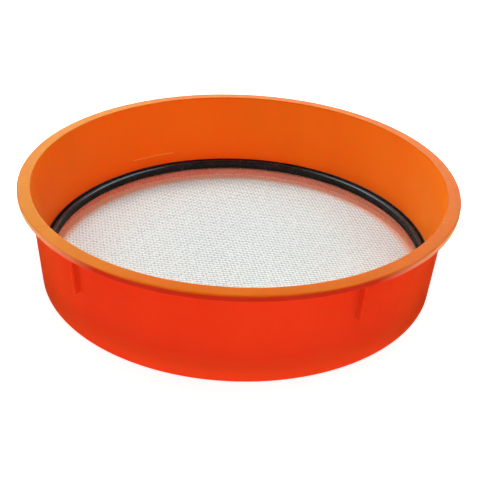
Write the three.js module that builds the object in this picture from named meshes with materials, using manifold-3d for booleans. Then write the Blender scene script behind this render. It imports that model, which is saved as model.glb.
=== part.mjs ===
// Round garden sieve: a tapered plastic frame with a wide rolled rim, and a screen that drops into it.
// Millimetres, +Z up. The origin is the centre of the circle that the frame's bottom edge stands on.

import * as THREE from 'three';
import { mergeVertices } from 'three/addons/utils/BufferGeometryUtils.js';
import Module from 'manifold-3d';

const wasm = await Module();
wasm.setup();

// ---------------------------------------------------------------- driving dimensions

const HEIGHT = 104;               // bottom edge to the top of the rim
const RIM_RADIUS = 225;           // outside of the rim's lip, the widest part
const FOOT_RADIUS = 207.8;        // outside of the wall at the bottom edge
const WALL_SPREAD = 0.058;        // how much the radius grows per millimetre of height
const WALL = 1.9;                 // thickness of the wall and of the lip

const FLANGE = 2.2;               // thickness of the rim's flat top
const LIP_DROP = 6.2;             // rim top down to the lip's lower edge
const RIM_ROUND = 1.8;            // radius of the rim's outer corner
const INNER_ROUND = 0.8;          // small radius where the bowl meets the rim

const LEDGE_TOP = 10.6;           // the screen stands on this shelf
const LEDGE = 2;                  // thickness of the shelf
const LEDGE_RADIUS = 201.4;       // its inner edge

const RIB_COUNT = 5;              // stacking ribs on the outside of the wall
const RIB = 2;                    // their thickness
const RIB_PROUD = 6.8;            // how far a rib stands out of the wall
const RIB_FOOT = 56;              // height of the rib's lower end, the stacking stop
const RIB_PHASE = 12.5;           // degrees from +X to the first rib

const WEB_COUNT = 15;             // gussets under the rim, between the wall and the lip
const WEB = 1.6;                  // their thickness
const WEB_DEPTH = 9;              // how far down the wall a gusset reaches below the flange

const LINE_MIDDLE = 121.8;        // degrees from +X to the raised line inside the bowl
const LINE_SPAN = 15;             // degrees that it runs along the wall
const LINE_HEIGHT = 35;           // height of its lower edge
const LINE = 1;                   // its width up the wall
const LINE_PROUD = 0.4;           // how far it stands into the bowl

const GAP = 0.35;                 // clearance between pieces that rest on or in each other
const CARRIER_TOP = 22.6;         // top of the screen's outer ring
const CARRIER_WALL = 1.3;         // thickness of its standing side
const CARRIER_FLOOR = 1;          // thickness of the short shelf that carries the wire cloth's edge
const SHELF_RADIUS = 202.8;       // inner edge of that shelf
const CLAMP_RADIUS = 198;         // inside of the ring that holds the cloth down
const CLAMP_TOP = 22.2;
const CLOTH_ROOM = 1.3;           // height of the slot that the cloth's edge is trapped in
const CLOTH = 0.3;                // the cloth as a plain sheet of nearly its own weight
const CLOTH_RADIUS = 204.4;

const SIDES = 120;                // facets round every ring
const CORNER_STEPS = 4;           // facets in a rounded corner

// Heights that follow from the ones above.
const FLANGE_UNDER = HEIGHT - FLANGE;
const CARRIER_FOOT = LEDGE_TOP + GAP;
const CLOTH_FLOOR = CARRIER_FOOT + CARRIER_FLOOR;
const CLAMP_FOOT = CLOTH_FLOOR + CLOTH_ROOM;

// ---------------------------------------------------------------- materials

const orangePlastic = new THREE.MeshStandardMaterial({ color: 0xe8501a, roughness: 0.35, metalness: 0 });
const blackPlastic = new THREE.MeshStandardMaterial({ color: 0x24211f, roughness: 0.3, metalness: 0 });
const blackRubbery = new THREE.MeshStandardMaterial({ color: 0x2a2826, roughness: 0.4, metalness: 0 });
const zincWire = new THREE.MeshStandardMaterial({ color: 0xd8dad8, roughness: 0.35, metalness: 0.9 });

// ---------------------------------------------------------------- helpers

const radians = THREE.MathUtils.degToRad;
const wallOutside = (z) => FOOT_RADIUS + WALL_SPREAD * z;
const wallInside = (z) => wallOutside(z) - WALL;
const carrierOutside = (z) => wallInside(z) - GAP;

/** Points [r, z] of a quarter or half circle, from one angle to another in degrees, ends included. */
function arc(r, z, radius, from, to, steps = CORNER_STEPS) {
  return Array.from({ length: steps + 1 }, (_, i) => {
    const angle = radians(from + ((to - from) * i) / steps);
    return [r + radius * Math.cos(angle), z + radius * Math.sin(angle)];
  });
}

/** A ring about Z, from the closed outline of its section, given anticlockwise as [r, z]. */
function ring(outline) {
  const points = [...outline, outline[0]].map(([r, z]) => new THREE.Vector2(r, z));
  return new THREE.LatheGeometry(points, SIDES).rotateX(Math.PI / 2);
}

/** A radial plate: its outline lies in the plane of Z and the given direction from +X. */
function plate(outline, thickness, degrees) {
  const shape = new THREE.Shape(outline.map(([r, z]) => new THREE.Vector2(r, z)));
  return new THREE.ExtrudeGeometry(shape, { depth: thickness, bevelEnabled: false })
    .translate(0, 0, -thickness / 2)
    .rotateX(Math.PI / 2)
    .rotateZ(radians(degrees));
}

/** A closed geometry as a solid that can be joined and cut. */
function toSolid(geometry) {
  geometry.deleteAttribute('normal');
  geometry.deleteAttribute('uv');
  const merged = mergeVertices(geometry);
  return new wasm.Manifold(new wasm.Mesh({
    numProp: 3,
    vertProperties: merged.attributes.position.array,
    triVerts: merged.index.array,
  }));
}

function toGeometry(solid) {
  const { vertProperties, triVerts } = solid.getMesh();
  const geometry = new THREE.BufferGeometry();
  geometry.setAttribute('position', new THREE.BufferAttribute(vertProperties, 3));
  geometry.setIndex(new THREE.BufferAttribute(triVerts, 1));
  geometry.computeVertexNormals();
  return geometry;
}

/** One sub-part: every piece of geometry joined into a single solid. */
function subPart(name, material, ...pieces) {
  const solid = pieces.map(toSolid).reduce((whole, piece) => whole.add(piece));
  const mesh = new THREE.Mesh(toGeometry(solid), material);
  mesh.name = name;
  return mesh;
}

// ---------------------------------------------------------------- frame

/** Wall, flat rim with its down-turned lip, and the shelf for the screen, as one section. */
function frameShell() {
  const lipInside = RIM_RADIUS - WALL;
  const lipFoot = HEIGHT - LIP_DROP;
  const rimCorner = HEIGHT - RIM_ROUND;
  const bowlCorner = HEIGHT - INNER_ROUND;
  return ring([
    [wallOutside(0), 0],
    [wallOutside(FLANGE_UNDER), FLANGE_UNDER],
    [lipInside, FLANGE_UNDER],
    [lipInside, lipFoot],
    [RIM_RADIUS, lipFoot],
    ...arc(RIM_RADIUS - RIM_ROUND, rimCorner, RIM_ROUND, 0, 90),
    ...arc(wallInside(bowlCorner) + INNER_ROUND, bowlCorner, INNER_ROUND, 90, 180, 2),
    [wallInside(LEDGE_TOP), LEDGE_TOP],
    [LEDGE_RADIUS, LEDGE_TOP],
    [LEDGE_RADIUS, LEDGE_TOP - LEDGE],
    [wallInside(LEDGE_TOP - LEDGE), LEDGE_TOP - LEDGE],
    [wallInside(0), 0],
  ]);
}

/** A thin upright rib on the outside of the wall. Its lower end rests on the rim of the sieve below. */
function stackingRib(degrees) {
  const top = HEIGHT - FLANGE / 2;
  const root = WALL / 2;
  return plate([
    [wallOutside(RIB_FOOT) - root, RIB_FOOT],
    [wallOutside(RIB_FOOT) + RIB_PROUD, RIB_FOOT],
    [wallOutside(top) + RIB_PROUD, top],
    [wallOutside(top) - root, top],
  ], RIB, degrees);
}

/** A thin gusset that stiffens the rim from below. */
function rimWeb(degrees) {
  const foot = FLANGE_UNDER - WEB_DEPTH;
  const top = HEIGHT - FLANGE / 2;
  const root = WALL / 2;
  const tip = RIM_RADIUS - WALL / 2;
  const tipFoot = HEIGHT - LIP_DROP + 1;
  return plate([
    [wallOutside(foot) - root, foot],
    [wallOutside(foot), foot],
    [tip, tipFoot],
    [tip, top],
    [wallOutside(top) - root, top],
  ], WEB, degrees);
}

/** The short raised line along the inside of the bowl. */
function raisedLine() {
  const from = radians(LINE_MIDDLE - LINE_SPAN / 2);
  const to = radians(LINE_MIDDLE + LINE_SPAN / 2);
  const wall = wallInside(LINE_HEIGHT);
  const shape = new THREE.Shape();
  shape.absarc(0, 0, wall + WALL / 2, from, to, false);
  shape.absarc(0, 0, wall - LINE_PROUD, to, from, true);
  return new THREE.ExtrudeGeometry(shape, { depth: LINE, bevelEnabled: false })
    .translate(0, 0, LINE_HEIGHT);
}

function frame() {
  const ribs = Array.from({ length: RIB_COUNT }, (_, i) => stackingRib(RIB_PHASE + (360 / RIB_COUNT) * i));
  const webs = Array.from({ length: WEB_COUNT }, (_, i) => rimWeb((360 / WEB_COUNT) * i));
  return subPart('frame', orangePlastic, frameShell(), ...ribs, ...webs, raisedLine());
}

// ---------------------------------------------------------------- screen

/** The screen's outer ring: a standing side that fits the frame's taper, and a shelf for the cloth. */
function carrierRing() {
  const inside = (z) => carrierOutside(z) - CARRIER_WALL;
  return subPart('carrier_ring', blackPlastic, ring([
    [SHELF_RADIUS, CARRIER_FOOT],
    [carrierOutside(CARRIER_FOOT), CARRIER_FOOT],
    [carrierOutside(CARRIER_TOP), CARRIER_TOP],
    [inside(CARRIER_TOP), CARRIER_TOP],
    [inside(CLOTH_FLOOR), CLOTH_FLOOR],
    [SHELF_RADIUS, CLOTH_FLOOR],
  ]));
}

/** The round-topped ring that is pressed into the carrier and holds the cloth's edge down. */
function clampRing() {
  const outside = (z) => carrierOutside(z) - CARRIER_WALL - GAP;
  const bead = (outside(CLAMP_FOOT) - CLAMP_RADIUS) / 2;
  const middle = CLAMP_RADIUS + bead;
  return subPart('clamp_ring', blackRubbery, ring([
    [CLAMP_RADIUS, CLAMP_FOOT],
    [outside(CLAMP_FOOT), CLAMP_FOOT],
    ...arc(middle, CLAMP_TOP - bead, bead, 0, 180, 2 * CORNER_STEPS),
  ]));
}

/** The woven wire cloth, as the plain round sheet that it is cut from. */
function wireCloth() {
  const sheet = new THREE.CylinderGeometry(CLOTH_RADIUS, CLOTH_RADIUS, CLOTH, SIDES)
    .rotateX(Math.PI / 2)
    .translate(0, 0, CLOTH_FLOOR + CLOTH_ROOM / 2);
  return subPart('wire_cloth', zincWire, sheet);
}

// ---------------------------------------------------------------- assembly

const screen = new THREE.Group();
screen.add(carrierRing(), wireCloth(), clampRing());

const sieve = new THREE.Group();
sieve.add(frame(), screen);

export default sieve;
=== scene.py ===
"""Round garden sieve: a moulded orange frame and a drop-in screen of woven wire between two black rings.

Lengths are millimetres until a mesh is made, where MM turns them into metres. Only the lights are placed
in metres. Angles round the sieve are degrees from +X, anticlockwise from above.
"""

import math

import bpy
from mathutils import Matrix, Vector


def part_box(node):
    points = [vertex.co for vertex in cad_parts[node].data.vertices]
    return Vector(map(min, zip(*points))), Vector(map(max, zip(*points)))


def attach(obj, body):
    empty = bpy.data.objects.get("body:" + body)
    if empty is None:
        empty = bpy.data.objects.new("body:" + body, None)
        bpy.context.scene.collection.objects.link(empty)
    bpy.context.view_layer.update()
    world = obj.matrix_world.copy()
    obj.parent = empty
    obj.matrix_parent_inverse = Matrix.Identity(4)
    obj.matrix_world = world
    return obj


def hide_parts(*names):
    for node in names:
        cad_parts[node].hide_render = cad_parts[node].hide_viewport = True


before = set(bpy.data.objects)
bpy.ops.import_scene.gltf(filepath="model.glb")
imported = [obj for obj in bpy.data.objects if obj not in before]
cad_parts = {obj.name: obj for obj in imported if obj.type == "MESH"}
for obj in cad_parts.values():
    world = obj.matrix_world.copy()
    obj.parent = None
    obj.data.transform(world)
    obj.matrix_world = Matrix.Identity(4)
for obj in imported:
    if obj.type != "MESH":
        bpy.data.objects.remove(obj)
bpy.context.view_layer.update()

MM = 0.001


# ---------------------------------------------------------------- sizes read from the frame

def reach(node):
    """(outer radius, lowest z, highest z) of a round CAD node, in millimetres."""
    low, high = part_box(node)
    return high[0] / MM, low[2] / MM, high[2] / MM


RIM_RADIUS, _, HEIGHT = reach("frame")
CARRIER_RADIUS, CARRIER_FOOT, CARRIER_TOP = reach("carrier_ring")
CLAMP_OUTSIDE, CLAMP_FOOT, CLAMP_TOP = reach("clamp_ring")
CLOTH_RADIUS, CLOTH_LOW, CLOTH_HIGH = reach("wire_cloth")
CLOTH_MIDDLE = (CLOTH_LOW + CLOTH_HIGH) / 2

# ---------------------------------------------------------------- sizes shared with the CAD source

FOOT_RADIUS = 207.8       # outside of the wall at the bottom edge
WALL_SPREAD = 0.058       # growth of the radius per millimetre of height
WALL = 1.9
FLANGE = 2.2
LIP_DROP = 6.2
RIM_ROUND = 1.8
LEDGE_TOP = 10.6
LEDGE = 2.0
LEDGE_RADIUS = 201.4
RIB_COUNT = 5
RIB = 2.0
RIB_PROUD = 6.8
RIB_FOOT = 56.0
RIB_PHASE = 12.5
WEB_COUNT = 15
WEB = 1.6
WEB_DEPTH = 9.0
LINE_MIDDLE = 121.8
LINE_SPAN = 15.0
LINE_HEIGHT = 35.0
LINE = 1.0
LINE_PROUD = 0.4
CARRIER_WALL = 1.3
CARRIER_FLOOR = 1.0
SHELF_RADIUS = 202.8
CLAMP_RADIUS = 198.0

FLANGE_UNDER = HEIGHT - FLANGE
LIP_FOOT = HEIGHT - LIP_DROP
LIP_INSIDE = RIM_RADIUS - WALL
WEB_FOOT = FLANGE_UNDER - WEB_DEPTH   # lower end of a web at the wall
WEB_TIP = LIP_FOOT + 1.0              # lower end of a web at the lip

# ---------------------------------------------------------------- sizes of the woven cloth

PITCH = 3.6               # from one wire to the next
WIRE_RADIUS = 0.3
WEAVE_TURN = 12.0         # the cloth lies turned by this much in its rings
CREST = 0.17              # half the length of a wire's crest over a crossing, in pitches


# ---------------------------------------------------------------- small helpers

def wall_outside(z):
    return FOOT_RADIUS + WALL_SPREAD * z


def wall_inside(z):
    return wall_outside(z) - WALL


def smooth(t):
    """0 to 1 with level ends."""
    t = min(1.0, max(0.0, t))
    return t * t * (3 - 2 * t)


def arc(r, z, radius, start, end, steps):
    """Points (r, z) round a corner, from one angle in degrees to another, both ends included."""
    turn = [math.radians(start + (end - start) * i / steps) for i in range(steps + 1)]
    return [(r + radius * math.cos(a), z + radius * math.sin(a)) for a in turn]


def spread(start, end, step):
    """Even values strictly between two, about a step apart."""
    count = max(1, round(abs(end - start) / step))
    return [start + (end - start) * i / count for i in range(1, count)]


def centred(middle, width, steps):
    """Even values across a width, both ends included."""
    return [middle + width * (i / steps - 0.5) for i in range(steps + 1)]


def both_sides(offsets):
    return [*offsets, *(-offset for offset in offsets)]


def srgb(red, green, blue):
    """Linear colour from 0-255 screen values."""
    def linear(v):
        v /= 255
        return v / 12.92 if v <= 0.04045 else ((v + 0.055) / 1.055) ** 2.4
    return linear(red), linear(green), linear(blue)


def mesh_object(name, vertices, faces, material):
    mesh = bpy.data.meshes.new(name)
    mesh.from_pydata(vertices, [], faces)
    mesh.validate()
    mesh.polygons.foreach_set("use_smooth", [True] * len(mesh.polygons))
    mesh.materials.append(material)
    piece = bpy.data.objects.new(name, mesh)
    bpy.context.scene.collection.objects.link(piece)
    return piece


def even_normals(piece):
    """Keeps flat faces flat beside their small rounded corners."""
    piece.modifiers.new("even_normals", "WEIGHTED_NORMAL").keep_sharp = True


def turned(name, columns, material):
    """A closed ring of quads. columns holds (angle in degrees, section) with each section [(r, z), ...]."""
    rows = len(columns[0][1])
    vertices = []
    for angle, section in columns:
        c, s = math.cos(math.radians(angle)), math.sin(math.radians(angle))
        vertices += [(r * c * MM, r * s * MM, z * MM) for r, z in section]
    faces = []
    for i in range(len(columns)):
        here, there = i * rows, (i + 1) % len(columns) * rows
        for j in range(rows):
            k = (j + 1) % rows
            faces.append((here + j, there + j, there + k, here + k))
    piece = mesh_object(name, vertices, faces, material)
    even_normals(piece)
    return piece


# ---------------------------------------------------------------- materials

class Shader:
    """A material with one Principled surface, and short calls for its procedural detail."""

    def __init__(self, name, **values):
        self.material = bpy.data.materials.new(name)
        self.material.use_nodes = True
        self.tree = self.material.node_tree
        self.surface = self.tree.nodes["Principled BSDF"]
        for socket, value in values.items():
            self.surface.inputs[socket.replace("_", " ")].default_value = value
        self.place = self.tree.nodes.new("ShaderNodeTexCoord").outputs["Object"]

    def node(self, kind, **values):
        made = self.tree.nodes.new("ShaderNode" + kind)
        for key, value in values.items():
            setattr(made, key, value)
        return made

    def join(self, output, socket):
        self.tree.links.new(output, socket)

    def feed(self, socket, output):
        """Joins an output to one of the surface's own sockets."""
        self.join(output, self.surface.inputs[socket])

    def noise(self, size_mm, detail, roughness=0.5, stretch=(1, 1, 1)):
        """Noise from 0 to 1 whose features are about size_mm across."""
        scaled = self.node("Mapping")
        scaled.inputs["Scale"].default_value = stretch
        self.join(self.place, scaled.inputs["Vector"])
        made = self.node("TexNoise")
        made.inputs["Scale"].default_value = 1 / (size_mm * MM)
        made.inputs["Detail"].default_value = detail
        made.inputs["Roughness"].default_value = roughness
        self.join(scaled.outputs["Vector"], made.inputs["Vector"])
        return made.outputs["Fac"]

    def ramp(self, value, first, second):
        """A colour ramp between two stops, each (position, colour)."""
        made = self.node("ValToRGB")
        for element, (position, colour) in zip(made.color_ramp.elements, (first, second)):
            element.position = position
            element.color = (*colour, 1)
        self.join(value, made.inputs["Fac"])
        return made.outputs["Color"]

    def range(self, value, low, high, start, end):
        """value from start to end becomes low to high, and stays between them."""
        made = self.node("MapRange")
        for socket, number in (("From Min", start), ("From Max", end), ("To Min", low), ("To Max", high)):
            made.inputs[socket].default_value = number
        self.join(value, made.inputs["Value"])
        return made.outputs["Result"]

    def fade(self, value, none, full, most=1.0):
        """0 to most, as a place in metres goes from none to full, both in millimetres."""
        return self.range(value, 0, most, none * MM, full * MM)

    def maths(self, operation, *values):
        made = self.node("Math", operation=operation)
        for socket, value in zip(made.inputs, values):
            if isinstance(value, (int, float)):
                socket.default_value = value
            else:
                self.join(value, socket)
        return made.outputs["Value"]

    def mix(self, factor, first, second):
        """A mix of two colours, each a colour output or an (r, g, b)."""
        made = self.node("Mix", data_type="RGBA")
        self.join(factor, made.inputs["Factor"])
        for socket, value in ((made.inputs[6], first), (made.inputs[7], second)):
            if isinstance(value, tuple):
                socket.default_value = (*value, 1)
            else:
                self.join(value, socket)
        return made.outputs[2]

    def along(self, axis):
        """Where a point lies along one axis of the sieve, in metres."""
        split = self.node("SeparateXYZ")
        self.join(self.place, split.inputs["Vector"])
        return split.outputs[axis]

    def radius(self):
        """How far a point is from the sieve's axis, in metres."""
        x, y = self.along("X"), self.along("Y")
        squares = self.maths("ADD", self.maths("MULTIPLY", x, x), self.maths("MULTIPLY", y, y))
        return self.maths("SQRT", squares)

    def bump(self, *layers):
        """Layers of (height from 0 to 1, depth in mm), one over the other."""
        below = None
        for value, depth in layers:
            made = self.node("Bump")
            made.inputs["Strength"].default_value = 1.0
            made.inputs["Distance"].default_value = depth * MM
            self.join(value, made.inputs["Height"])
            if below:
                self.join(below, made.inputs["Normal"])
            below = made.outputs["Normal"]
        self.feed("Normal", below)


# Tones of the frame. Left, right and the ends are along X, and the front is towards -Y.
# The outside's two random tones, and a lighter tone that is painted light towards the ends.
OUTSIDE_DEEP, OUTSIDE_LIGHT, OUTSIDE_END_LIT = srgb(208, 52, 22), srgb(213, 58, 24), srgb(222, 74, 28)
# Painted light on the outside low down, over the foot.
FOOT_PAINTED_LIGHT = srgb(236, 71, 30)
# The lip: painted shade on its front and a pale painted reflection at its ends.
LIP_FRONT_SHADE, LIP_END_REFLECTION = srgb(184, 44, 24), srgb(240, 178, 130)
# The bowl's two random tones, a purer orange than the outside as painted light through the wall, and a
# third with more painted light on the bowl's left.
BOWL_DEEP, BOWL_LIGHT, BOWL_LEFT_LIT = srgb(238, 125, 27), srgb(242, 133, 29), srgb(252, 122, 24)
# A painted highlight along the raised line.
LINE_HIGHLIGHT = srgb(252, 172, 84)
# The rim top's tones, yellower than the outside as painted light, the second with more painted light on the
# left.
RIM_TONE, RIM_LEFT_LIT = srgb(192, 97, 6), srgb(188, 116, 12)

# Where those tones begin and where they are full, in millimetres.
OUTSIDE_END_LIT_FADE = 130, 205           # to either side of the middle
LIP_END_REFLECTION_FADE = 120, 195
FOOT_PAINTED_LIGHT_FADE = 28, 8                     # up from the floor
LIP_FADE = RIM_RADIUS - 3.5, RIM_RADIUS - 1.5
BOWL_FADE = -0.6, 0.6                 # inwards from the middle of the wall
LINE_PROUD_FADE = WALL / 2 + 0.15, WALL / 2 + 0.3
BOWL_LEFT_LIT_FADE = 50, -170
LINE_HEIGHT_FADE = LINE_HEIGHT - 3, LINE_HEIGHT - 2
RIM_FADE = HEIGHT - RIM_ROUND, HEIGHT - 0.4
RIM_LEFT_LIT_FADE = -60, -190

SKIN_TINT = (1.0, 0.15, 0.03, 1)      # the colour that the plastic gives to its own gloss


def orange_plastic():
    """Moulded polypropylene: light goes some way into it, and its skin is fine-grained and slightly wavy.

    The outside is red-orange, lighter low down and towards the ends as painted light, with a lip in painted
    shade in front and a pale painted reflection at its ends. The bowl is a purer orange and the rim's top
    the most yellow, both painted light, with more painted light on the left of each and a painted highlight
    along the bowl's raised line.
    """
    s = Shader(
        "orange_polypropylene", IOR=1.49, Specular_Tint=SKIN_TINT,
        Subsurface_Weight=1.0, Subsurface_Scale=4 * MM, Subsurface_Radius=(1.0, 0.3, 0.1),
    )
    flow = s.noise(70, detail=4, roughness=0.55, stretch=(1, 1, 0.6))
    x, z, radius = s.along("X"), s.along("Z"), s.radius()
    sideways = s.maths("ABSOLUTE", x)
    outside = s.ramp(flow, (0.3, OUTSIDE_DEEP), (0.7, OUTSIDE_LIGHT))
    # Painted light: the outside lighter low down.
    outside = s.mix(s.fade(z, *FOOT_PAINTED_LIGHT_FADE), outside, FOOT_PAINTED_LIGHT)
    # Painted light: the outside lighter towards the ends.
    outside = s.mix(s.fade(sideways, *OUTSIDE_END_LIT_FADE), outside, OUTSIDE_END_LIT)
    # Painted shade on the lip's front, painted reflection at its ends.
    lip = s.mix(s.fade(sideways, *LIP_END_REFLECTION_FADE), LIP_FRONT_SHADE, LIP_END_REFLECTION)
    outside = s.mix(s.fade(radius, *LIP_FADE), outside, lip)

    wall_middle = s.maths("ADD", s.maths("MULTIPLY", z, WALL_SPREAD), (FOOT_RADIUS - WALL / 2) * MM)
    inward = s.maths("SUBTRACT", wall_middle, radius)
    # The bowl's purer orange is painted light through the wall.
    bowl = s.ramp(flow, (0.3, BOWL_DEEP), (0.7, BOWL_LIGHT))
    # Painted light on the bowl's left.
    bowl = s.mix(s.fade(x, *BOWL_LEFT_LIT_FADE), bowl, BOWL_LEFT_LIT)
    # Painted highlight along the raised line.
    line = s.maths("MULTIPLY", s.fade(inward, *LINE_PROUD_FADE), s.fade(z, *LINE_HEIGHT_FADE))
    bowl = s.mix(line, bowl, LINE_HIGHLIGHT)

    # The rim top's yellow is painted light, with more on the left.
    rim = s.mix(s.fade(x, *RIM_LEFT_LIT_FADE), RIM_TONE, RIM_LEFT_LIT)
    tone = s.mix(s.fade(inward, *BOWL_FADE), outside, bowl)
    s.feed("Base Color", s.mix(s.fade(z, *RIM_FADE), tone, rim))
    s.feed("Roughness", s.range(s.noise(25, detail=3), 0.28, 0.36, 0.3, 0.7))
    s.bump((s.noise(60, detail=1), 0.12), (s.noise(0.9, detail=1), 0.002))
    return s.material


BLACK_DEEP, BLACK_LIGHT, DUST = srgb(26, 28, 28), srgb(36, 38, 37), srgb(96, 88, 80)
DUST_AMOUNT = 0.25


def black_plastic(name):
    """Glossy moulded black plastic with faint handling marks and a trace of dust."""
    s = Shader(name, IOR=1.5)
    tone = s.ramp(s.noise(25, detail=4), (0.35, BLACK_DEEP), (0.7, BLACK_LIGHT))
    specks = s.range(s.noise(2.2, detail=5, roughness=0.7), 0, 1, 0.6, 0.8)
    s.feed("Base Color", s.mix(s.maths("MULTIPLY", specks, DUST_AMOUNT), tone, DUST))
    s.feed("Roughness", s.range(s.noise(9, detail=5), 0.13, 0.3, 0.3, 0.7))
    s.bump((s.noise(30, detail=1), 0.12), (s.noise(0.7, detail=2), 0.005))
    return s.material


WIRE_BRIGHT, WIRE_DULL = (232, 249, 240), (186, 206, 198)
# Painted shade and painted orange bounce light on the wires towards the rings.
WIRE_EDGE_SHADE = srgb(184, 156, 134)
WIRE_EDGE_SHADE_FADE = 115, 196             # out from the middle of the cloth
WIRE_EDGE_SHADE_AMOUNT = 0.6


def zinc_wire(name, shade):
    """Bright drawn wire under a thin zinc coat, a touch greyer in patches, with painted shade and painted
    orange bounce light towards the rings.
    """
    s = Shader(name, Metallic=0.6)
    dull, bright = (srgb(*(shade * value for value in wire)) for wire in (WIRE_DULL, WIRE_BRIGHT))
    tone = s.ramp(s.noise(4, detail=5, roughness=0.65), (0.35, dull), (0.62, bright))
    # Painted shade and painted orange bounce light towards the rings.
    s.feed("Base Color", s.mix(s.fade(s.radius(), *WIRE_EDGE_SHADE_FADE, WIRE_EDGE_SHADE_AMOUNT), tone, WIRE_EDGE_SHADE))
    s.feed("Roughness", s.range(s.noise(1.5, detail=3), 0.28, 0.46, 0.3, 0.7))
    s.bump((s.noise(0.25, detail=2), 0.01))
    return s.material


TABLE_GLOW = 0.75
THROUGH_WALL = (0.5, 0.1, 0.0)        # the glow that stands for light through the wall
# Painted shade under the rings with painted orange light, on the floor just inside the foot.
BESIDE_WALL_SHADE = srgb(222, 140, 108)     # the floor's tone in that light
BESIDE_WALL_SHADE_FADE = 190, 200           # out from the sieve's axis
GLOW_FADE = 189, 201


def light_table():
    """A white floor that glows round the sieve.

    Just inside the foot it glows orange, as where light comes through the wall, and its colour there is
    painted shade under the rings with painted orange light. Further in it doesn't glow.
    """
    s = Shader("white_floor", Roughness=0.7)
    tone = s.ramp(s.noise(400, detail=2), (0.3, srgb(243, 243, 243)), (0.7, srgb(247, 247, 247)))
    radius = s.radius()
    beyond = s.fade(radius, wall_inside(0), wall_outside(0))
    # Painted shade with painted orange light on the floor just inside the foot.
    inside = s.mix(s.fade(radius, *BESIDE_WALL_SHADE_FADE), tone, BESIDE_WALL_SHADE)
    s.feed("Base Color", s.mix(beyond, inside, tone))
    s.feed("Emission Color", s.mix(beyond, THROUGH_WALL, tone))
    s.feed("Emission Strength", s.fade(radius, *GLOW_FADE, TABLE_GLOW))
    s.material.cycles.emission_sampling = "NONE"
    return s.material


# ---------------------------------------------------------------- frame

RIB_EDGE = 0.4            # width of a rib's flank, with its small rounds
RIB_FOOT_ROUND = 0.5      # height over which a rib's lower end rises
RIB_FILLET = 2.2          # radius where a rib meets the wall
WEB_FLANK = 0.3           # width of a web's flank
LINE_EDGE = 0.35          # width of the raised line's sloping edges
LINE_END = 2.0            # length over which the raised line sinks into the wall
SINK = 0.16               # depth of the mark that each web leaves in the rim's top
SINK_WIDTH = 1.3          # its spread to either side of the web
SINK_LENGTH = 3.2         # its spread along the web
SINK_RADIUS = 217.2       # where the mark is deepest

# Rounds of the plain section.
FILLET = 3.0
FOOT_ROUND = 0.45
LIP_ROUND = 0.5
BOWL_ROUND = 0.9
LEDGE_ROUND = 0.5
LEDGE_ROOT = 0.6

RIBS = [RIB_PHASE + i * 360 / RIB_COUNT for i in range(RIB_COUNT)]
WEBS = [i * 360 / WEB_COUNT for i in range(WEB_COUNT)]
RIB_RADIUS = wall_outside((RIB_FOOT + HEIGHT) / 2)

CLOSEST_COLUMNS = 0.02    # degrees; columns nearer than this to the one before are left out


def across(angle, middle, radius):
    """Distance in mm, round a circle of that radius, from the angle middle to angle."""
    turn = (angle - middle + 180) % 360 - 180
    return math.radians(turn) * radius


def to_nearest(angle, middles, radius):
    """Distance in mm, round a circle of that radius, to the nearest of some angles."""
    return min(abs(across(angle, middle, radius)) for middle in middles)


def frame_angles():
    """One column a degree, and closer ones where a rib, a web or the raised line has an edge."""
    angles = set(range(360))

    def add(middle, offsets, radius):
        angles.update(round((middle + math.degrees(o / radius)) % 360, 4) for o in offsets)

    flank = centred(RIB / 2, RIB_EDGE, 6)
    fillet = [RIB / 2 + RIB_FILLET * t for t in (0.18, 0.3, 0.45, 0.7, 1.0)]
    for rib in RIBS:
        add(rib, both_sides(flank + fillet), RIB_RADIUS)
    web_flank = centred(WEB / 2, WEB_FLANK, 3)
    sink = [0.35, 1.2, 1.7, 2.3]
    for web in WEBS:
        add(web, both_sides(web_flank + sink), RIM_RADIUS)
    for end in (-0.5, 0.5):
        add(LINE_MIDDLE + end * LINE_SPAN, both_sides([0.4, 0.8, 1.2]), RIB_RADIUS)
    ordered = sorted(angles)
    kept = [ordered[0]]
    for angle in ordered[1:]:
        if angle - kept[-1] > CLOSEST_COLUMNS:
            kept.append(angle)
    return kept


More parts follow.
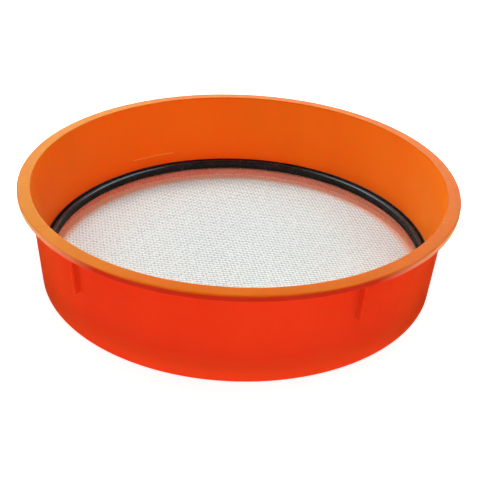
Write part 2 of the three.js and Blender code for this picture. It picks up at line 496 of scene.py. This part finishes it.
def frame_section():
    """The frame's plain section as (zone, r, z), anticlockwise from the outer corner of the foot.

    outer is the wall's outside, cavity the space under the rim, inner the wall inside the bowl, and skirt
    the wall's inside below the ledge.
    """
    top_wall = FLANGE_UNDER - FILLET
    rib_rows = centred(RIB_FOOT, RIB_FOOT_ROUND, 6)
    outer_rows = (
        spread(FOOT_ROUND, rib_rows[0], 4) + rib_rows + spread(rib_rows[-1], WEB_FOOT, 4)
        + [WEB_FOOT] + spread(WEB_FOOT, top_wall, 1.5)
    )
    line_top = [LINE_HEIGHT + LINE + up for up in (LINE_EDGE, 0.2, 0, -0.25, -0.5, -0.75)]
    line_rows = line_top + [LINE_HEIGHT - down for down in (0, 0.2, LINE_EDGE)]
    inner_rows = (
        spread(HEIGHT - 1, line_rows[0], 4) + line_rows + spread(line_rows[-1], LEDGE_TOP + FILLET, 4)
    )
    flange_start = wall_outside(FLANGE_UNDER) + FILLET
    rim_rows = [RIM_RADIUS - 4.1 - i for i in range(8)] + [wall_inside(HEIGHT) + 1.2]
    bowl_edge = wall_inside(HEIGHT) + BOWL_ROUND
    under_ledge = LEDGE_TOP - LEDGE
    ledge_tip = LEDGE_RADIUS + LEDGE_ROUND
    section = []

    def add(zone, points):
        section.extend((zone, r, z) for r, z in points)

    add("foot", arc(wall_outside(0) - FOOT_ROUND, FOOT_ROUND, FOOT_ROUND, -90, 0, 3))
    add("outer", [(wall_outside(z), z) for z in outer_rows])
    add("cavity", arc(flange_start, top_wall, FILLET, 180, 90, 5))
    add("cavity", [(r, FLANGE_UNDER) for r in spread(flange_start, LIP_INSIDE - FILLET, 1.5)])
    add("cavity", arc(LIP_INSIDE - LIP_ROUND, FLANGE_UNDER - LIP_ROUND, LIP_ROUND, 90, 0, 3))
    add("cavity", [(LIP_INSIDE, z) for z in spread(FLANGE_UNDER - LIP_ROUND, WEB_TIP, 1)])
    add("lip", [(LIP_INSIDE, WEB_TIP)])
    add("lip", arc(LIP_INSIDE + LIP_ROUND, LIP_FOOT + LIP_ROUND, LIP_ROUND, 180, 270, 3))
    add("lip", arc(RIM_RADIUS - LIP_ROUND, LIP_FOOT + LIP_ROUND, LIP_ROUND, -90, 0, 3))
    add("lip", [(RIM_RADIUS, z) for z in spread(LIP_FOOT + LIP_ROUND, HEIGHT - RIM_ROUND, 1)])
    add("top", arc(RIM_RADIUS - RIM_ROUND, HEIGHT - RIM_ROUND, RIM_ROUND, 0, 90, 9))
    add("top", [(r, HEIGHT) for r in rim_rows])
    add("top", arc(bowl_edge, HEIGHT - BOWL_ROUND, BOWL_ROUND, 90, 180, 4)[1:])
    add("inner", [(wall_inside(z), z) for z in inner_rows])
    add("ledge", arc(wall_inside(LEDGE_TOP) - LEDGE_ROOT, LEDGE_TOP + LEDGE_ROOT, LEDGE_ROOT, 0, -90, 3))
    add("ledge", arc(ledge_tip, LEDGE_TOP - LEDGE_ROUND, LEDGE_ROUND, 90, 180, 3))
    add("ledge", arc(ledge_tip, under_ledge + LEDGE_ROUND, LEDGE_ROUND, 180, 270, 3))
    add("ledge", arc(wall_inside(under_ledge) - LEDGE_ROOT, under_ledge - LEDGE_ROOT, LEDGE_ROOT, 90, 0, 3))
    add("skirt", [(wall_inside(z), z) for z in spread(under_ledge - LEDGE_ROOT, FOOT_ROUND, 1.5)])
    add("foot", arc(wall_inside(0) + FOOT_ROUND, FOOT_ROUND, FOOT_ROUND, 180, 270, 3))
    return section


def rib_height(angle):
    """How far the nearest rib stands out of the wall at this angle, well above its foot."""
    nearest = to_nearest(angle, RIBS, RIB_RADIUS)
    flank = RIB_PROUD * smooth((RIB / 2 + RIB_EDGE / 2 - nearest) / RIB_EDGE)
    from_tip = min(RIB_FILLET, max(0.0, RIB / 2 + RIB_FILLET - nearest))
    fillet = RIB_FILLET - math.sqrt(RIB_FILLET ** 2 - from_tip ** 2)
    return max(flank, fillet)


def web_share(angle):
    """1 inside a web's thickness, 0 beside it."""
    nearest = to_nearest(angle, WEBS, RIM_RADIUS)
    return smooth((WEB / 2 + WEB_FLANK / 2 - nearest) / WEB_FLANK)


def line_share(angle):
    """1 along the raised line inside the bowl, 0 past its ends."""
    from_middle = abs(across(angle, LINE_MIDDLE, wall_inside(LINE_HEIGHT)))
    half = math.radians(LINE_SPAN / 2) * wall_inside(LINE_HEIGHT)
    return smooth((half + LINE_END / 2 - from_middle) / LINE_END)


def sink_share(angle):
    """1 over the middle of a web, fading to 0 beside it."""
    return math.exp(-((to_nearest(angle, WEBS, RIM_RADIUS) / SINK_WIDTH) ** 2))


def shares_along(points):
    """How far along the line through points each one is, from 0 to 1."""
    lengths = [0.0]
    for (r0, z0), (r1, z1) in zip(points, points[1:]):
        lengths.append(lengths[-1] + math.hypot(r1 - r0, z1 - z0))
    return [length / lengths[-1] for length in lengths]


def add_rib(r, z, height, zone):
    """The point pushed outwards where a rib stands. Under the flange the rib stops at the lip's inside."""
    low = smooth((z - RIB_FOOT) / RIB_FOOT_ROUND + 0.5)
    room = (LIP_INSIDE - r) / (LIP_INSIDE - wall_outside(z)) if zone == "cavity" else 1
    return r + height * low * room, z


def add_web(r, z, web, share):
    """The point drawn towards its place on a web's sloping edge, from the wall to the lip."""
    start, end = (wall_outside(WEB_FOOT), WEB_FOOT), (LIP_INSIDE, WEB_TIP)
    edge_r, edge_z = (low + (high - low) * share for low, high in zip(start, end))
    return r + web * (edge_r - r), z + web * (edge_z - z)


def add_line(r, z, line):
    """The point pushed into the bowl where the raised line runs."""
    up = smooth((z - LINE_HEIGHT + LINE_EDGE) / LINE_EDGE)
    down = smooth((LINE_HEIGHT + LINE + LINE_EDGE - z) / LINE_EDGE)
    return r - LINE_PROUD * line * min(up, down), z


def frame_columns():
    """The plain section at every angle, with the ribs, the webs, their marks and the raised line on it."""
    section = frame_section()
    behind_web = [
        i for i, (zone, r, z) in enumerate(section)
        if zone == "cavity" or zone == "outer" and z >= WEB_FOOT
    ]
    shares = dict(zip(behind_web, shares_along([section[i][1:] for i in behind_web])))
    columns = []
    for angle in frame_angles():
        rib, web, line, sink = rib_height(angle), web_share(angle), line_share(angle), sink_share(angle)
        points = []
        for i, (zone, r, z) in enumerate(section):
            if rib and zone in ("outer", "cavity"):
                r, z = add_rib(r, z, rib, zone)
            if web and i in shares:
                r, z = add_web(r, z, web, shares[i])
            if zone == "top" and r < RIM_RADIUS - 1:
                z -= SINK * sink * math.exp(-(((r - SINK_RADIUS) / SINK_LENGTH) ** 2))
            if line and zone == "inner":
                r, z = add_line(r, z, line)
            points.append((r, z))
        columns.append((angle, points))
    return columns


def make_frame():
    piece = turned("sieve_frame", frame_columns(), orange_plastic())
    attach(piece, "frame")
    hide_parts("frame")


# ---------------------------------------------------------------- the screen's two rings

RING_COLUMNS = 360


def carrier_outside(z):
    return CARRIER_RADIUS - WALL_SPREAD * (CARRIER_TOP - z)


def carrier_section():
    """An L: the standing side against the frame, and the shelf under the cloth."""
    floor_top = CARRIER_FOOT + CARRIER_FLOOR
    inside = carrier_outside(CARRIER_TOP) - CARRIER_WALL
    inside_low = carrier_outside(floor_top) - CARRIER_WALL
    rounding = 0.35
    clear = 0.1           # keeps the round of the top's outer corner inside the taper
    return (
        arc(SHELF_RADIUS + rounding, CARRIER_FOOT + rounding, rounding, 180, 270, 3)
        + arc(carrier_outside(CARRIER_FOOT) - rounding, CARRIER_FOOT + rounding, rounding, -90, 0, 3)
        + [(carrier_outside(z), z) for z in spread(CARRIER_FOOT, CARRIER_TOP, 2)]
        + arc(CARRIER_RADIUS - rounding - clear, CARRIER_TOP - rounding, rounding, 0, 90, 4)
        + arc(inside + rounding, CARRIER_TOP - rounding, rounding, 90, 180, 4)
        + [(inside_low + (inside - inside_low) * t, floor_top + (CARRIER_TOP - floor_top) * t)
           for t in (0.85, 0.6, 0.3, 0.05, 0)]
        + arc(SHELF_RADIUS + rounding, floor_top - rounding, rounding, 90, 180, 3)
    )


def clamp_section():
    """A plain side and foot under a fully rounded top."""
    bead = (CLAMP_OUTSIDE - CLAMP_RADIUS) / 2
    middle = CLAMP_RADIUS + bead
    rounding = 0.4
    return (
        arc(CLAMP_RADIUS + rounding, CLAMP_FOOT + rounding, rounding, 180, 270, 3)
        + arc(CLAMP_OUTSIDE - rounding, CLAMP_FOOT + rounding, rounding, -90, 0, 3)
        + [(CLAMP_OUTSIDE, z) for z in spread(CLAMP_FOOT + rounding, CLAMP_TOP - bead, 2)]
        + arc(middle, CLAMP_TOP - bead, bead, 0, 180, 16)
        + [(CLAMP_RADIUS, z) for z in spread(CLAMP_TOP - bead, CLAMP_FOOT + rounding, 2)]
    )


def make_ring(name, node, section, material):
    columns = [(i * 360 / RING_COLUMNS, section) for i in range(RING_COLUMNS)]
    piece = turned(name, columns, material)
    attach(piece, "screen")
    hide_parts(node)


def make_rings():
    outer, inner = black_plastic("black_carrier"), black_plastic("black_clamp")
    make_ring("screen_carrier_ring", "carrier_ring", carrier_section(), outer)
    make_ring("screen_clamp_ring", "clamp_ring", clamp_section(), inner)


# ---------------------------------------------------------------- woven cloth

WIRE_SIDES = 6
WIRE_CLEAR = 0.01         # air between two wires where they cross
END_SWING = 0.4           # height of a wire's cut end, as a share of its height at the last crossing
LAST_WIRE = int(CLOTH_RADIUS / PITCH - 0.5)


def wire_place(number):
    """Distance of a wire from the cloth's middle. Numbers below 0 are on the other side of it."""
    return (number + 0.5) * PITCH


def wire_path(number):
    """Points (distance along, height) of one wire, from edge to edge of the round cloth.

    It goes over every other wire that it crosses. The rule serves both ways of the cloth: a quarter turn
    puts weft wire n where the warp counts -n - 1, so that one goes over where the other goes under.
    """
    half = math.sqrt(CLOTH_RADIUS ** 2 - wire_place(number) ** 2)
    swing = WIRE_RADIUS + WIRE_CLEAR / 2
    crest = CREST * PITCH
    points = []
    for crossed in range(-LAST_WIRE - 1, LAST_WIRE + 1):
        place = wire_place(crossed)
        if abs(place) < half - crest:
            height = -swing if (crossed + number) % 2 else swing
            points += [(place - crest, height), (place + crest, height)]
    return [(-half, points[0][1] * END_SWING), *points, (half, points[-1][1] * END_SWING)]


def add_wire(vertices, faces, number, along_axis, across_axis):
    """One bent wire as a closed tube of WIRE_SIDES sides, added to the lists."""
    first = len(vertices)
    side = across_axis * wire_place(number)
    path = wire_path(number)
    for distance, height in path:
        centre = along_axis * distance + side + Vector((0, 0, CLOTH_MIDDLE + height))
        for k in range(WIRE_SIDES):
            turn = 2 * math.pi * k / WIRE_SIDES
            out = across_axis * math.cos(turn) + Vector((0, 0, math.sin(turn)))
            vertices.append(tuple((centre + out * WIRE_RADIUS) * MM))
    for i in range(len(path) - 1):
        here, there = first + i * WIRE_SIDES, first + (i + 1) * WIRE_SIDES
        for k in range(WIRE_SIDES):
            n = (k + 1) % WIRE_SIDES
            faces.append((here + k, here + n, there + n, there + k))
    last = first + (len(path) - 1) * WIRE_SIDES
    faces.append(tuple(range(first + WIRE_SIDES - 1, first - 1, -1)))
    faces.append(tuple(range(last, last + WIRE_SIDES)))


def make_wires(name, numbers, degrees, material):
    """Parallel wires that lie along the direction given in degrees from +X."""
    along_axis = Vector((math.cos(math.radians(degrees)), math.sin(math.radians(degrees)), 0))
    across_axis = Vector((-along_axis.y, along_axis.x, 0))
    vertices, faces = [], []
    for number in numbers:
        add_wire(vertices, faces, number, along_axis, across_axis)
    piece = mesh_object(name, vertices, faces, material)
    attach(piece, "screen")
    return piece


def make_cloth():
    """Plain weave: each warp wire goes over one weft wire and under the next."""
    lower, upper = range(-LAST_WIRE - 1, 0), range(LAST_WIRE + 1)
    warp, weft = zinc_wire("zinc_warp_wire", 1.0), zinc_wire("zinc_weft_wire", 0.97)
    wires = [
        make_wires("warp_wires_front", lower, WEAVE_TURN, warp),
        make_wires("warp_wires_back", upper, WEAVE_TURN, warp),
        make_wires("weft_wires_left", upper, WEAVE_TURN + 90, weft),
        make_wires("weft_wires_right", lower, WEAVE_TURN + 90, weft),
    ]
    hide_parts("wire_cloth")


# ---------------------------------------------------------------- floor, light and camera

FLOOR_HALF = 6000         # half of its width
FLOOR_DROP = 0.2          # keeps the floor clear of the sieve's foot


def make_floor():
    """The floor doesn't show in the sieve's gloss, where white cards stand instead."""
    signs = [(-1, -1), (1, -1), (1, 1), (-1, 1)]
    corners = [(x * FLOOR_HALF * MM, y * FLOOR_HALF * MM, 0) for x, y in signs]
    floor = mesh_object("floor", corners, [(0, 1, 2, 3)], light_table())
    floor.location.z = -FLOOR_DROP * MM
    floor.visible_glossy = False


WORLD_LIGHT = 0.5
WARM, COOL = (1, 0.98, 0.85), (0.5, 0.88, 1)
LIGHT_TARGET_Z = 0.05     # metres; every light faces this height on the sieve's axis


def area_light(name, place, size, power, colour=(1, 1, 1), lights=True, mirrored=True):
    """A soft box aimed at the sieve: a disk of one size, or a panel of (width, height), in metres.

    One that isn't mirrored doesn't show in the sieve's gloss. One that doesn't light the sieve shows only
    in its gloss, as a white card does.
    """
    light = bpy.data.lights.new(name, "AREA")
    if isinstance(size, tuple):
        light.shape = "RECTANGLE"
        light.size, light.size_y = size
    else:
        light.shape = "DISK"
        light.size = size
    light.energy = power
    light.color = colour
    lamp = bpy.data.objects.new(name, light)
    bpy.context.scene.collection.objects.link(lamp)
    lamp.location = place
    aim = Vector((0, 0, LIGHT_TARGET_Z)) - Vector(place)
    lamp.rotation_euler = aim.to_track_quat("-Z", "Y").to_euler()
    lamp.visible_diffuse = lights
    lamp.visible_glossy = mirrored


def make_light():
    world = bpy.data.worlds.new("studio")
    bpy.context.scene.world = world
    world.use_nodes = True
    world.cycles_visibility.glossy = False
    background = world.node_tree.nodes["Background"]
    background.inputs["Color"].default_value = (1, 1, 1, 1)
    background.inputs["Strength"].default_value = WORLD_LIGHT
    area_light("key_above", (-0.22, 0.5, 1.45), 0.55, 27, mirrored=False)
    area_light("front_fill", (0, -1.8, 0.5), (2.4, 1.0), 5, mirrored=False)
    area_light("back_panel", (0, 2.0, 0.75), (3.2, 1.1), 16, WARM, lights=False)
    area_light("left_card", (-0.85, 0.45, 1.2), (0.9, 0.9), 15, COOL, lights=False)
    area_light("right_card", (0.85, 0.45, 1.2), (0.9, 0.9), 15, COOL, lights=False)


CAMERA_PLACE = (-1.1, -784.2, 488.5)
CAMERA_TARGET = (1.4, 0.0, 24.6)
CAMERA_ROLL = 2.36        # degrees; the camera leaned this much to its left
CAMERA_LENS = 63.45       # focal length
CAMERA_SENSOR = 36        # width of the sensor


def make_camera():
    camera = bpy.data.cameras.new("camera")
    camera.lens = CAMERA_LENS
    camera.sensor_width = CAMERA_SENSOR
    view = bpy.data.objects.new("camera", camera)
    bpy.context.scene.collection.objects.link(view)
    place = Vector(CAMERA_PLACE) * MM
    ahead = (Vector(CAMERA_TARGET) * MM - place).normalized()
    level = ahead.cross(Vector((0, 0, 1))).normalized()
    right = Matrix.Rotation(-math.radians(CAMERA_ROLL), 3, ahead) @ level
    up = right.cross(ahead)
    view.matrix_world = Matrix.Translation(place) @ Matrix((right, up, -ahead)).transposed().to_4x4()
    bpy.context.scene.camera = view


bpy.context.scene.view_settings.view_transform = "Standard"
make_camera()
make_floor()
make_light()
make_frame()
make_rings()
make_cloth()
